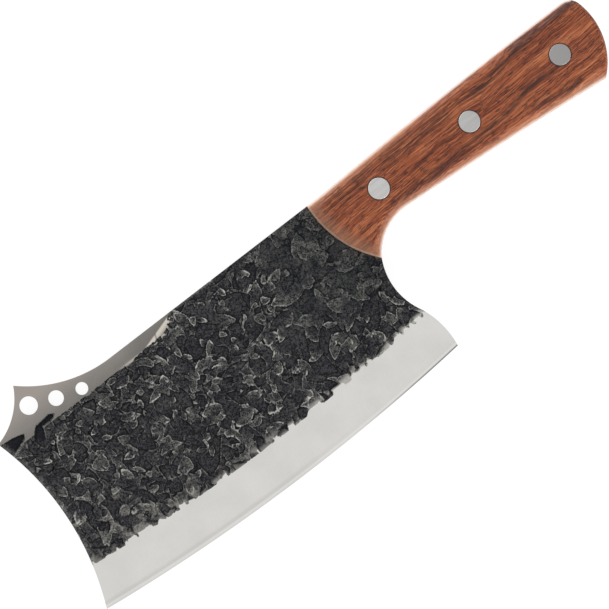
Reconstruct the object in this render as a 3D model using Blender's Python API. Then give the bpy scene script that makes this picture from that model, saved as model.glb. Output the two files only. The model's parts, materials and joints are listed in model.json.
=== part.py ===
"""Butcher's meat cleaver: a forged blade with a full tang, two wooden scales and three two-piece rivets.

Knife frame, in metres: +X runs from the blade to the butt, +Y to the spine, +Z out of the left side.
X = 0 and Y = 0 meet where the scales end at the spine, and Z = 0 is the middle of the steel.
The finished knife lies on its right side, tipped nose down until blade and handle both touch the table.
"""

import math

import bmesh
import bpy
import numpy as np
from mathutils import Matrix, Vector

# Steel plate
STEEL_THICKNESS = 0.0040
SPINE_LENGTH = 0.1045
SPINE_DROP = 0.0004
HORN_LENGTH = 0.1438
HORN_HEIGHT = 0.0150
HORN_FRONT_HOLLOW = 0.0028
NOSE_AHEAD_OF_HORN = 0.0200
NOSE_DROP = 0.0009
FRONT_HOLLOW = 0.0074
TOE_LENGTH = 0.1695
TOE_DEPTH = 0.0835
EDGE_BELLY = 0.0049
HEEL_OVERHANG = 0.0150
HEEL_DEPTH = 0.0850
HEEL_CROWN = 0.0017
SHOULDER_OVERHANG = 0.0117
SHOULDER_DEPTH = 0.0630
CHOIL_HOLLOW = 0.0033

# Ground faces of the blade
BEVEL_WIDTH = 0.0198
BEVEL_SHOULDER = 0.0024
BEHIND_EDGE_THICKNESS = 0.0008
EDGE_THICKNESS = 0.0002
SWEDGE_DEPTH = 0.0078
SWEDGE_STRAIGHT_END = 0.1000
SWEDGE_SPINE_END = 0.0700
SWEDGE_RUNOUT_HOLLOW = 0.0018
HORN_TIP_THICKNESS = 0.0018

# Main hammer marks, alike on both sides of the blade
MARK_SPACING = 0.0140
MARK_LENGTH = 0.0118
MARK_BREADTH = 0.0092
MARK_DEPTH = 0.0005
MARK_WALL = 0.0016
MARK_MARGIN = 0.0010

# Three holes along the horn: diameter, and steel left between the hole and the swept spine
HORN_HOLES = ((0.0078, 0.0042), (0.0066, 0.0029), (0.0054, 0.0027))
FIRST_HOLE_FROM_TIP = 0.0064
HOLE_SPACING = 0.0105

# Handle outline, shared by the tang and the scales
SCALE_FRONT_OVERHANG = 0.0119
SCALE_FRONT_DEPTH = 0.0364
SCALE_FRONT_CROWN = 0.0040
GRIP_START = 0.0360
GRIP_START_DEPTH = 0.0254
FINGER_HOLLOW = 0.0039
HANDLE_LENGTH = 0.1407
BUTT_RISE = 0.0029
BUTT_LOWER_LENGTH = 0.1323
BUTT_LOWER_DEPTH = 0.0335
BUTT_CROWN = 0.0062
GRIP_WAIST = 0.0005
STRAIGHT_BACK = 0.0080
BACK_CROWN = 0.0009
UPPER_CORNER_CUT = 0.0045

# Scales
SCALE_THICKNESS = 0.0085
SIDE_ROUND_WIDTH = 0.0065
SIDE_ROUND_DEPTH = 0.0055
FRONT_ROUND = 0.0018
BUTT_ROUND = 0.0025
GLUE_LINE = 0.00015

# Rivets
FRONT_RIVET_INSET = 0.0285
FRONT_RIVET_FROM_BACK = 0.0134
REAR_RIVET_INSET = 0.0178
REAR_RIVET_FROM_BACK = 0.0169
RIVET_HEAD_DIAMETER = 0.0092
RIVET_HEAD_THICKNESS = 0.0018
RIVET_HEAD_CHAMFER = 0.0003
RIVET_HEAD_PROUD = 0.0002
RIVET_TUBE_DIAMETER = 0.0060
RIVET_POST_DIAMETER = 0.0040
RIVET_CLEARANCE = 0.00015
RIVET_FLOOR = 0.0006

# Counts of straight steps in the round stretches
ARC_STEPS = 14
EDGE_STEPS = 26
CORNER_STEPS = 5
ROUND_STEPS = 5
TURN_STEPS = 32

# A hammer mark's corners, the lobes of its outline, their share of its size, and its floor's slant
MARK_CORNERS = 8
MARK_LOBES = 3
MARK_LOBE_SHARE = 0.08
MARK_SLANT = 0.6

# Marks take their places and directions from this turn, which never repeats itself
GOLDEN_TURN = math.pi * (3 - math.sqrt(5))

# Cutters reach this far past what they cut
OVERCUT = 0.0020

# Points closer than this are one point
SAME_POINT = 1e-7

# The knife's tip on the table is found between level and this angle, to this precision
STEEPEST_TIP = math.radians(20)
TIP_PRECISION = 1e-9

# Faces that meet at more than this angle keep a sharp edge
SHARP_ANGLE = math.radians(30)


def clear_scene():
    for old in list(bpy.data.objects):
        bpy.data.objects.remove(old, do_unlink=True)


def principled(name, colour, roughness, metallic):
    material = bpy.data.materials.new(name)
    material.use_nodes = True
    shader = material.node_tree.nodes["Principled BSDF"]
    shader.inputs["Base Color"].default_value = (*colour, 1.0)
    shader.inputs["Roughness"].default_value = roughness
    shader.inputs["Metallic"].default_value = metallic
    material.diffuse_color = (*colour, 1.0)
    return material


# Plane curves

def left_of(direction):
    return Vector((-direction.y, direction.x)).normalized()


def arc(start, end, bow, steps):
    """Points from start to end on a circle that stands bow left of the chord, or right of it if negative."""
    start, end = Vector(start), Vector(end)
    chord = end - start
    left = left_of(chord)
    points = []
    half_angle = 2 * math.atan2(2 * abs(bow), chord.length)
    for step in range(steps + 1):
        angle = half_angle * (2 * step / steps - 1)
        if half_angle == 0:
            along, aside = step / steps - 0.5, 0.0
        else:
            along = 0.5 * math.sin(angle) / math.sin(half_angle)
            aside = 0.5 * (math.cos(angle) - math.cos(half_angle)) / math.sin(half_angle)
        points.append((start + end) / 2 + chord * along + left * chord.length * math.copysign(aside, bow))
    return points


def arc_circle(start, end, bow):
    """Centre and radius of the circle that arc() follows."""
    start, end = Vector(start), Vector(end)
    chord = end - start
    left = left_of(chord)
    radius = chord.length_squared / (8 * abs(bow)) + abs(bow) / 2
    return (start + end) / 2 + left * math.copysign(radius - abs(bow), -bow), radius


def trimmed(points, length):
    """The curve without its first stretch of that length."""
    rest = [Vector(point) for point in points]
    while (rest[1] - rest[0]).length <= length:
        length -= (rest[1] - rest[0]).length
        rest.pop(0)
    rest[0] = rest[0] + (rest[1] - rest[0]).normalized() * length
    return rest


def rounded(before, after, cut):
    """Two curves that meet in a corner, each shortened by cut, and the tangent curve that rounds it off."""
    corner = Vector(after[0])
    before = trimmed(before[::-1], cut)[::-1]
    after = trimmed(after, cut)
    turn = []
    for step in range(1, CORNER_STEPS):
        t = step / CORNER_STEPS
        turn.append(before[-1] * (1 - t) ** 2 + corner * 2 * t * (1 - t) + after[0] * t ** 2)
    return before, turn, after


def chained(*curves):
    """One closed loop from curves that follow each other, with each shared end kept once."""
    loop = []
    for curve in curves:
        for point in curve:
            if not loop or (point - loop[-1]).length > SAME_POINT:
                loop.append(point)
    return loop[:-1] if (loop[0] - loop[-1]).length < SAME_POINT else loop


def height_at(curve, x):
    """Y of a curve at X."""
    ordered = sorted((point.x, point.y) for point in curve)
    return float(np.interp(x, [p[0] for p in ordered], [p[1] for p in ordered]))


# Outlines in the knife frame

SPINE_END = Vector((0.0, 0.0))
SWEEP_START = Vector((-SPINE_LENGTH, -SPINE_DROP))
HORN_TIP = Vector((-HORN_LENGTH, HORN_HEIGHT))
NOSE = Vector((-HORN_LENGTH - NOSE_AHEAD_OF_HORN, -NOSE_DROP))
TOE = Vector((-TOE_LENGTH, -TOE_DEPTH))
HEEL = Vector((HEEL_OVERHANG, -HEEL_DEPTH))
SHOULDER = Vector((SHOULDER_OVERHANG, -SHOULDER_DEPTH))
SCALE_FRONT_LOW = Vector((SCALE_FRONT_OVERHANG, -SCALE_FRONT_DEPTH))
GRIP = Vector((GRIP_START, -GRIP_START_DEPTH))
BUTT_LOW = Vector((BUTT_LOWER_LENGTH, -BUTT_LOWER_DEPTH))
BUTT_HIGH = Vector((HANDLE_LENGTH, BUTT_RISE))


def sweep_circle():
    """Centre and radius of the hollow spine, which starts level and ends at the horn's tip."""
    run, rise = HORN_TIP - SWEEP_START
    radius = (run ** 2 + rise ** 2) / (2 * rise)
    return SWEEP_START + Vector((0.0, radius)), radius


def sweep_curve():
    centre, radius = sweep_circle()
    last = math.asin((HORN_LENGTH - SPINE_LENGTH) / radius)
    points = []
    for step in range(ARC_STEPS + 1):
        angle = last * step / ARC_STEPS
        points.append(centre - Vector((math.sin(angle), math.cos(angle))) * radius)
    return points


def front_curves():
    """Blade outline from the spine round the horn, nose, toe and edge to the scales' lower front corner."""
    return [
        [SPINE_END],
        sweep_curve(),
        arc(HORN_TIP, NOSE, HORN_FRONT_HOLLOW, ARC_STEPS),
        arc(NOSE, TOE, FRONT_HOLLOW, ARC_STEPS),
        arc(TOE, HEEL, -EDGE_BELLY, EDGE_STEPS),
        arc(HEEL, SHOULDER, -HEEL_CROWN, ARC_STEPS),
        arc(SHOULDER, SCALE_FRONT_LOW, CHOIL_HOLLOW, ARC_STEPS),
    ]


def handle_curves():
    """Handle outline from the scales' lower front corner along the belly and round the butt to the spine."""
    belly = arc(SCALE_FRONT_LOW, GRIP, FINGER_HOLLOW, ARC_STEPS)
    belly += arc(GRIP, BUTT_LOW, GRIP_WAIST, ARC_STEPS)[1:]
    butt = arc(BUTT_LOW, BUTT_HIGH, -BUTT_CROWN, ARC_STEPS)
    back = arc(BUTT_HIGH, Vector((STRAIGHT_BACK, 0.0)), -BACK_CROWN, ARC_STEPS) + [SPINE_END]
    butt, corner, back = rounded(butt, back, UPPER_CORNER_CUT)
    return {"belly": belly, "butt": butt, "upper_corner": corner, "back": back}


def scale_front_curve():
    return arc(SPINE_END, SCALE_FRONT_LOW, -SCALE_FRONT_CROWN, ARC_STEPS)


def rivet_places():
    """Rivet centres, front to rear, with the middle one halfway between the others."""
    back = handle_curves()["back"]
    rear_x = HANDLE_LENGTH - REAR_RIVET_INSET
    front = Vector((FRONT_RIVET_INSET, height_at(back, FRONT_RIVET_INSET) - FRONT_RIVET_FROM_BACK))
    rear = Vector((rear_x, height_at(back, rear_x) - REAR_RIVET_FROM_BACK))
    return [front, (front + rear) / 2, rear]


# Solids

def new_object(name, bm, materials):
    bmesh.ops.remove_doubles(bm, verts=bm.verts, dist=SAME_POINT)
    bmesh.ops.recalc_face_normals(bm, faces=bm.faces)
    mesh = bpy.data.meshes.new(name)
    bm.to_mesh(mesh)
    bm.free()
    for material in materials:
        mesh.materials.append(material)
    thing = bpy.data.objects.new(name, mesh)
    bpy.context.scene.collection.objects.link(thing)
    return thing


def prism(name, outline, low, high, materials):
    """An outline extruded between two heights, where low and high are functions of a point."""
    bm = bmesh.new()
    floor = bm.faces.new([bm.verts.new((p.x, p.y, low(p))) for p in outline])
    raised = bmesh.ops.extrude_face_region(bm, geom=[floor])["geom"]
    for vert in raised:
        if isinstance(vert, bmesh.types.BMVert):
            vert.co.z = high(vert.co)
    return new_object(name, bm, materials)


def turned(name, profile, materials, centre=(0.0, 0.0)):
    """A profile of radius and height spun full circle about the upright axis through centre."""
    bm = bmesh.new()
    middle = Vector((*centre, 0.0))
    line = [bm.verts.new(middle + Vector((radius, 0.0, z))) for radius, z in profile]
    edges = [bm.edges.new(pair) for pair in zip(line, line[1:])]
    full = 2 * math.pi
    bmesh.ops.spin(
        bm, geom=line + edges, cent=middle, axis=(0, 0, 1), angle=full, steps=TURN_STEPS, use_merge=True
    )
    return new_object(name, bm, materials)


def swung(name, profile, materials, centre, middle_angle, swing):
    """A closed profile of radius and height swung about the upright axis through centre."""
    bm = bmesh.new()
    axis = Vector((*centre, 0.0))
    start = Matrix.Rotation(middle_angle - swing / 2, 3, "Z")
    ring = [bm.verts.new(axis + start @ Vector((radius, 0.0, z))) for radius, z in profile]
    face = bm.faces.new(ring)
    bmesh.ops.spin(bm, geom=[face], cent=axis, axis=(0, 0, 1), angle=swing, steps=EDGE_STEPS)
    return new_object(name, bm, materials)


def smooth(thing):
    thing.data.shade_smooth()
    thing.data.set_sharp_from_angle(angle=SHARP_ANGLE)


def cut(thing, cutter):
    """Cuts thing with the cutter, which stays in the scene as a hidden guide."""
    cutter.hide_render = True
    cutter.display_type = "WIRE"
    cutter.parent = thing.parent
    modifier = thing.modifiers.new("cut_" + cutter.name, "BOOLEAN")
    modifier.operation = "DIFFERENCE"
    modifier.solver = "EXACT"
    modifier.material_mode = "TRANSFER"
    modifier.object = cutter


def mirrored(cutter, name):
    """The same cutter for the right side of the steel."""
    bm = bmesh.new()
    bm.from_mesh(cutter.data)
    bmesh.ops.transform(bm, matrix=Matrix.Scale(-1, 4, (0, 0, 1)), verts=bm.verts)
    return new_object(name, bm, cutter.data.materials)


def bevel_cutter(finish):
    """Wedge that grinds the wide bevel and the narrow cutting edge, swung about the edge's own centre."""
    centre, radius = arc_circle(TOE, HEEL, -EDGE_BELLY)
    half, behind, land = STEEL_THICKNESS / 2, BEHIND_EDGE_THICKNESS / 2, EDGE_THICKNESS / 2
    grind_slope = (half - behind) / (BEVEL_WIDTH - BEVEL_SHOULDER)
    edge_slope = (behind - land) / BEVEL_SHOULDER
    profile = [
        (radius - BEVEL_WIDTH - OVERCUT, half + OVERCUT * grind_slope),
        (radius - BEVEL_SHOULDER, behind),
        (radius + OVERCUT, land - OVERCUT * edge_slope),
        (radius + OVERCUT, half + OVERCUT),
        (radius - BEVEL_WIDTH - OVERCUT, half + OVERCUT),
    ]
    middle = (TOE + HEEL) / 2 - centre
    swing = 2 * math.asin(((HEEL - TOE).length + BEVEL_WIDTH) / (2 * radius))
    return swung("bevel_cutter", profile, [finish], centre, math.atan2(middle.y, middle.x), swing)


def swedge_cutter(finish):
    """Slanting slab that thins the horn and the front of the spine, with a curved run-out up to the spine."""
    corner = Vector((-SWEDGE_STRAIGHT_END, -SWEDGE_DEPTH))
    run_out = arc(corner, Vector((-SWEDGE_SPINE_END, 0.0)), -SWEDGE_RUNOUT_HOLLOW, ARC_STEPS)
    beyond = HORN_HEIGHT + OVERCUT
    outline = [Vector((-TOE_LENGTH - OVERCUT, -SWEDGE_DEPTH)), *run_out]
    outline += [Vector((-SWEDGE_SPINE_END + OVERCUT, beyond)), Vector((-TOE_LENGTH - OVERCUT, beyond))]
    half = STEEL_THICKNESS / 2
    slope = (half - HORN_TIP_THICKNESS / 2) / (HORN_HEIGHT + SWEDGE_DEPTH)

    def ground(point):
        return half - (point.y + SWEDGE_DEPTH) * slope

    return prism("swedge_cutter", outline, ground, lambda point: half + OVERCUT, [finish])


def horn_hole_cutters(finish):
    """Three drills in a row that follows the swept spine, from the horn's tip backwards."""
    centre, radius = sweep_circle()
    at_tip = math.asin((HORN_LENGTH - SPINE_LENGTH) / radius)
    reach = STEEL_THICKNESS / 2 + OVERCUT
    drills = []
    for number, (diameter, margin) in enumerate(HORN_HOLES):
        angle = at_tip - (FIRST_HOLE_FROM_TIP + number * HOLE_SPACING) / radius
        place = centre - Vector((math.sin(angle), math.cos(angle))) * (radius + margin + diameter / 2)
        profile = [(0, reach), (diameter / 2, reach), (diameter / 2, -reach), (0, -reach)]
        drills.append(turned(f"horn_drill_{number + 1}", profile, [finish], centre=place))
    return drills


def forged_room(point):
    """How far a point lies inside the forged field, which bevel, swedge, front, choil and scales bound."""
    centre, radius = arc_circle(TOE, HEEL, -EDGE_BELLY)
    rooms = [radius - BEVEL_WIDTH - (point - centre).length, -SWEDGE_DEPTH - point.y]
    bounds = (
        (NOSE, TOE, FRONT_HOLLOW),
        (SHOULDER, SCALE_FRONT_LOW, CHOIL_HOLLOW),
        (SPINE_END, SCALE_FRONT_LOW, -SCALE_FRONT_CROWN),
    )
    for start, end, bow in bounds:
        centre, radius = arc_circle(start, end, bow)
        rooms.append((point - centre).length - radius)
    return min(rooms)


def hammer_marks():
    """Centre and turn of each hammer mark: staggered rows, with every mark moved off its place by its turn.

    A mark moves no further than keeps it clear of its neighbours, and is left out where the field lacks room.
    """
    reach = MARK_LENGTH / 2 + MARK_MARGIN
    row_step = MARK_SPACING * math.sqrt(3) / 2
    play = (MARK_SPACING - MARK_LENGTH) / 2
    rows, columns = round(TOE_DEPTH / row_step), round(TOE_LENGTH / MARK_SPACING) + 1
    marks = []
    for number in range(rows * columns):
        row, column = divmod(number, columns)
        turn = number * GOLDEN_TURN
        x = (column + row % 2 / 2) * MARK_SPACING - TOE_LENGTH
        y = -SWEDGE_DEPTH - reach - row * row_step
        centre = Vector((x, y)) + Vector((math.cos(turn), math.sin(turn))) * play
        if forged_room(centre) >= reach:
            marks.append((centre, turn))
    return marks


def hammer_cutter(finish):
    """All marks of the left side: each a slanting flat floor in an uneven oval, with a sloping wall round it."""
    half = STEEL_THICKNESS / 2
    floor_share = 1 - MARK_WALL / (MARK_LENGTH / 2)
    bm = bmesh.new()
    for centre, turn in hammer_marks():
        lower, middle, upper = [], [], []
        for corner in range(MARK_CORNERS):
            angle = 2 * math.pi * corner / MARK_CORNERS
            size = 1 - MARK_LOBE_SHARE * (1 - math.cos(MARK_LOBES * angle + turn))
            oval = Vector((MARK_LENGTH / 2 * math.cos(angle), MARK_BREADTH / 2 * math.sin(angle))) * size
            slant = 1 + MARK_SLANT * oval.x * floor_share / (MARK_LENGTH / 2)
            oval.rotate(Matrix.Rotation(turn, 2))
            lower.append(bm.verts.new((*(centre + oval * floor_share), half - MARK_DEPTH * slant)))
            middle.append(bm.verts.new((*(centre + oval), half)))
            upper.append(bm.verts.new((*(centre + oval), half + OVERCUT)))
        bm.faces.new(lower[::-1])
        bm.faces.new(upper)
        for low, high in ((lower, middle), (middle, upper)):
            for corner in range(MARK_CORNERS):
                following = (corner + 1) % MARK_CORNERS
                bm.faces.new((low[corner], low[following], high[following], high[corner]))
    return new_object("hammer_cutter", bm, [finish])


def make_blade(parent, forged, ground):
    curves = front_curves() + list(handle_curves().values())
    half = STEEL_THICKNESS / 2
    blade = prism("blade_with_tang", chained(*curves), lambda p: -half, lambda p: half, [forged, ground])
    blade.parent = parent
    for cutter in (bevel_cutter(ground), swedge_cutter(ground), hammer_cutter(forged)):
        cut(blade, cutter)
        cut(blade, mirrored(cutter, cutter.name + "_right"))
    for drill in horn_hole_cutters(ground):
        cut(blade, drill)
    hole = RIVET_TUBE_DIAMETER / 2 + RIVET_CLEARANCE
    reach = half + OVERCUT
    for number, place in enumerate(rivet_places()):
        profile = [(0, reach), (hole, reach), (hole, -reach), (0, -reach)]
        cut(blade, turned(f"tang_drill_{number + 1}", profile, [ground], centre=place))
    return blade


def scale_runs():
    """The scale's outline as three runs between sharp corners.

    Each point comes with the width and depth of the rounded edge there.
    """
    curves = handle_curves()
    side = Vector((SIDE_ROUND_WIDTH, SIDE_ROUND_DEPTH))
    butt = Vector((BUTT_ROUND, BUTT_ROUND))
    front = Vector((FRONT_ROUND, FRONT_ROUND))
    corner = curves["upper_corner"]
    turning = [(point, butt.lerp(side, (n + 1) / (len(corner) + 1))) for n, point in enumerate(corner)]
    return [
        [(point, front) for point in scale_front_curve()],
        [(point, side) for point in curves["belly"]],
        [(point, butt) for point in curves["butt"]] + turning + [(point, side) for point in curves["back"]],
    ]


def inside_corner(before, after):
    """The point that lies the rounded edges' widths inside both of the runs that meet in a corner."""
    (previous, _), (corner, width_before) = before[-2:]
    (_, width_after), (following, _) = after[:2]
    first, second = left_of(corner - previous), left_of(following - corner)
    turn = first.x * second.y - first.y * second.x
    return corner + Vector((
        (width_before.x * second.y - width_after.x * first.y) / turn,
        (width_after.x * first.x - width_before.x * second.x) / turn,
    ))


def is_past(point, inside, corner, direction):
    """Whether a point near a corner lies further in that direction than the point inside the corner does."""
    near = (point - corner).length < (inside - corner).length
    return near and (point - inside).dot(direction) > 0


def rounded_edge():
    """Each outline point, the point that its rounded edge reaches on the outer face, and the edge's depth."""
    runs = scale_runs()
    loop = []
    for number, run in enumerate(runs):
        entry = inside_corner(runs[number - 1], run)
        leave = inside_corner(run, runs[(number + 1) % len(runs)])
        for index, (point, size) in enumerate(run[:-1]):
            along = run[index + 1][0] - run[max(index - 1, 0)][0]
            inner = point + left_of(along) * size.x
            if is_past(point, entry, run[0][0], -along):
                inner = entry
            if is_past(point, leave, run[-1][0], along):
                inner = leave
            loop.append((point, inner, size.y))
    return loop


def scale_rings():
    """Rings of points round the scale, from its glued face up the wall and over the rounded edge."""
    base = STEEL_THICKNESS / 2 + GLUE_LINE
    top = base + SCALE_THICKNESS
    edge = rounded_edge()
    rings = [[(*point, base) for point, _, _ in edge]]
    for step in range(ROUND_STEPS + 1):
        angle = math.pi / 2 * step / ROUND_STEPS
        inward, down = 1 - math.cos(angle), 1 - math.sin(angle)
        rings.append([(*point.lerp(inner, inward), top - depth * down) for point, inner, depth in edge])
    return rings


def make_scale(name, side, parent, wood):
    """One half of the handle, with a stepped hole for each rivet. side is 1 for left and -1 for right."""
    bm = bmesh.new()
    rings = [[bm.verts.new(place) for place in ring] for ring in scale_rings()]
    for low, high in zip(rings, rings[1:]):
        for index in range(len(low)):
            following = (index + 1) % len(low)
            bm.faces.new((low[index], low[following], high[following], high[index]))
    bm.faces.new(rings[0][::-1])
    bm.faces.new(rings[-1])
    if side < 0:
        bmesh.ops.transform(bm, matrix=Matrix.Scale(-1, 4, (0, 0, 1)), verts=bm.verts)
    scale = new_object(name, bm, [wood])
    scale.parent = parent
    tube = RIVET_TUBE_DIAMETER / 2 + RIVET_CLEARANCE
    head = RIVET_HEAD_DIAMETER / 2 + RIVET_CLEARANCE
    top = handle_half_thickness()
    seat = rivet_seat() - RIVET_CLEARANCE
    profile = [(0, top + OVERCUT), (head, top + OVERCUT), (head, seat), (tube, seat), (tube, 0), (0, 0)]
    profile = [(radius, side * z) for radius, z in profile]
    for number, place in enumerate(rivet_places()):
        cut(scale, turned(f"{name}_drill_{number + 1}", profile, [wood], centre=place))
    smooth(scale)
    return scale


def handle_half_thickness():
    return STEEL_THICKNESS / 2 + GLUE_LINE + SCALE_THICKNESS


def rivet_seat():
    """Height of the underside of a rivet's head."""
    return handle_half_thickness() + RIVET_HEAD_PROUD - RIVET_HEAD_THICKNESS


def head_profile():
    """Rivet head from its centre out and down to its underside, which is at rivet_seat()."""
    radius = RIVET_HEAD_DIAMETER / 2
    face = rivet_seat() + RIVET_HEAD_THICKNESS
    return [
        (0, face),
        (radius - RIVET_HEAD_CHAMFER, face),
        (radius, face - RIVET_HEAD_CHAMFER),
        (radius, rivet_seat()),
    ]


def make_rivet(name, place, parent, steel):
    """A rivet's two halves: a post with its head on the left, in a tube with its head on the right."""
    seat = rivet_seat()
    tube = RIVET_TUBE_DIAMETER / 2
    post = RIVET_POST_DIAMETER / 2
    bore = post + RIVET_CLEARANCE
    tube_end = -seat + 2 * RIVET_CLEARANCE
    bore_end = seat - RIVET_FLOOR
    post_end = -bore_end + RIVET_CLEARANCE
    post_profile = head_profile() + [(post, seat), (post, post_end), (0, post_end)]
    tube_profile = head_profile() + [(tube, seat), (tube, tube_end), (bore, tube_end), (bore, bore_end)]
    tube_profile.append((0, bore_end))
    halves = (
        turned(name + "_post", post_profile, [steel]),
        turned(name + "_tube", [(radius, -z) for radius, z in tube_profile], [steel]),
    )
    for half in halves:
        half.parent = parent
        half.location = (place.x, place.y, 0.0)
        smooth(half)
    return halves


# Lying on a table

def world_points(thing):
    graph = bpy.context.evaluated_depsgraph_get()
    seen = thing.evaluated_get(graph)
    mesh = seen.to_mesh()
    points = np.empty(len(mesh.vertices) * 3)
    mesh.vertices.foreach_get("co", points)
    seen.to_mesh_clear()
    matrix = np.array(thing.matrix_world)
    return points.reshape(-1, 3) @ matrix[:3, :3].T + matrix[:3, 3]


def lay_on_table(knife, blade, lower_scale, pieces):
    """Tips the knife nose down until blade and lower scale both touch, and stands its box on the origin."""
    bpy.context.view_layer.update()
    steel, wood = world_points(blade), world_points(lower_scale)

    def lowest(points, tip):
        return (points[:, 2] * math.cos(tip) + points[:, 0] * math.sin(tip)).min()

    level, steep = 0.0, STEEPEST_TIP
    while steep - level > TIP_PRECISION:
        tip = (level + steep) / 2
        if lowest(steel, tip) > lowest(wood, tip):
            level = tip
        else:
            steep = tip
    knife.rotation_euler = (0.0, -level, 0.0)
    bpy.context.view_layer.update()
    points = np.vstack([world_points(piece) for piece in pieces])
    low, high = points.min(axis=0), points.max(axis=0)
    knife.location = (-(low[0] + high[0]) / 2, -(low[1] + high[1]) / 2, -low[2])
    bpy.context.view_layer.update()


def main():
    clear_scene()
    forged = principled("forge_black_steel", (0.045, 0.045, 0.048), 0.55, 0.8)
    ground = principled("ground_satin_steel", (0.66, 0.65, 0.63), 0.32, 1.0)
    wood = principled("red_brown_wood", (0.30, 0.105, 0.045), 0.45, 0.0)
    rivet_steel = principled("brushed_rivet_steel", (0.62, 0.63, 0.63), 0.35, 1.0)
    knife = bpy.data.objects.new("cleaver", None)
    bpy.context.scene.collection.objects.link(knife)
    blade = make_blade(knife, forged, ground)
    left = make_scale("left_scale", 1, knife, wood)
    right = make_scale("right_scale", -1, knife, wood)
    pieces = [blade, left, right]
    for name, place in zip(("front_rivet", "middle_rivet", "rear_rivet"), rivet_places()):
        pieces += make_rivet(name, place, knife, rivet_steel)
    lay_on_table(knife, blade, right, pieces)


main()
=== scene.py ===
"""Meat cleaver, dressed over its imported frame: forged blade, wooden scales and handle rivets.

Shapes are worked out in millimetres in the knife's own frame, which is that of the part: +X runs from
the blade to the butt, +Y to the spine, +Z out of the left side, and X = Y = 0 is where the scales end
at the spine.
"""

import json
import math

import bpy
import numpy as np
from mathutils import Matrix, Vector


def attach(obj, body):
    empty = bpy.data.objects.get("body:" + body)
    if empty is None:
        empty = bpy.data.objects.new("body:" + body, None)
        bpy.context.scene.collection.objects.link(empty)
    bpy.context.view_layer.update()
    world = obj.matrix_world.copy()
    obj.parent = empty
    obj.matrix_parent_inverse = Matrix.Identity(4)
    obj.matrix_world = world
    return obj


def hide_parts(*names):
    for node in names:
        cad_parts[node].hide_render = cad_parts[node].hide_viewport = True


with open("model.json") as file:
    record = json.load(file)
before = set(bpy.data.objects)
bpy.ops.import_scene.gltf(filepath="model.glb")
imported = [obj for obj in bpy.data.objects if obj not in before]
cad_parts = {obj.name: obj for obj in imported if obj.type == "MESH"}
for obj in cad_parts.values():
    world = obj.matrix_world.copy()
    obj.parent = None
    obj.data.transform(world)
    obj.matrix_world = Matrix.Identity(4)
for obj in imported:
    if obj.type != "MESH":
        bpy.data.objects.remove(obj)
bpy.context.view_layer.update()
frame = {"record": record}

# Outline points and the bows of the arcs between them, as in the part
SPINE_END = (0.0, 0.0)
SWEEP_START = (-104.5, -0.4)
HORN_TIP = (-143.8, 15.0)
NOSE = (-163.8, -0.9)
TOE = (-169.5, -83.5)
HEEL = (15.0, -85.0)
SHOULDER = (11.7, -63.0)
SCALE_LOW = (11.9, -36.4)
GRIP = (36.0, -25.4)
BUTT_LOW = (132.3, -33.5)
BUTT_HIGH = (140.7, 2.9)
STRAIGHT_BACK = (8.0, 0.0)
HORN_FRONT_BOW = -2.8
FRONT_BOW = -7.4
EDGE_BOW = -4.9
HEEL_BOW = -1.7
CHOIL_BOW = 3.3
SCALE_FRONT_BOW = 4.0
FINGER_BOW = 3.9
GRIP_BOW = 0.5
BUTT_BOW = -6.2
BACK_BOW = -0.9
UPPER_CORNER_CUT = 4.5

# Point of the plan under both mounts, in metres
MOUNT_PLAN = (-0.0500, -0.0647)

# Steel
HALF_STEEL = 2.0
EDGE_HALF = 0.1
EDGE_BREAK = 0.14
HOLE_BREAK = 0.10
BEVEL_WIDTH = 19.8
SWEDGE_DEPTH = 7.8
HORN_HOLES = (((-143.686, 4.405), 3.9), ((-132.633, -0.090), 3.3), ((-121.568, -3.453), 2.7))

# Heights that the grinder leaves, by the distance from the edge and by that into the horn's facet, and
# the line where the facet begins
BEVEL_PROFILE = ((0.0, 2.4, 20.3, 21.7, 42.0), (0.1, 0.4, 1.70, 2.04, 8.0))
FACET_PROFILE = ((-20.0, 0.0, 1.2, 23.0), (4.0, 2.02, 1.78, 0.9))
FACET_COSINE = 0.97
RUNOUT = (
    (-175.0, -83.0, -78.5, -73.0, -70.0, -58.0),
    (-SWEDGE_DEPTH, -SWEDGE_DEPTH, -7.0, -1.4, 0.0, 22.0),
)

# Lowest and highest relief of the forged sides by the distance from the edge, and the lowest by the facet
LEAST_RELIEF = ((15.0, 17.5, 19.5, 22.0), (-0.06, -0.26, -0.50, -2.0))
MOST_RELIEF = ((20.0, 22.0, 26.0), (-0.30, -0.22, 0.0))
FACET_RELIEF = -0.18

# Main hammer marks, as in the part
MARK_SPACING = 14.0
MARK_LENGTH = 11.8
MARK_BREADTH = 9.2
MARK_DEPTH = 0.5
MARK_WALL = 1.6
MARK_MARGIN = 1.0
MARK_LOBES = 3
MARK_LOBE_SHARE = 0.08
MARK_SLANT = 0.6
GOLDEN_TURN = math.pi * (3 - math.sqrt(5))

# Finer forge marks: their field, and for marks pressed in and for flakes left standing the way they go,
# their spacing, middle radius, limits of the radius and most sides
FIELD_X = (-178, 26)
FIELD_Y = (-82, 22)
FORGE_BATCHES = ((-1, 3.7, 2.5, (1.0, 6.0), 5), (1, 6.0, 1.6, (1.0, 3.0), 3))
WALL_SLOPE = 1.3
FULL_WALL = 0.30
LEAST_WALL = 0.12
LEFT_SEED = 11
RIGHT_SEED = 23

# Where the forged sides turn calmer, in shape and in tint beside the scales, and where more worn in front
CALM_X = (-55.0, -8.0)
CALM_Y = (-52.0, -36.0)
CALM_TINT_Y = (-54.0, -38.0)
WORN_X = (-85.0, -135.0)
WORN_Y = (-30.0, -58.0)

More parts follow.
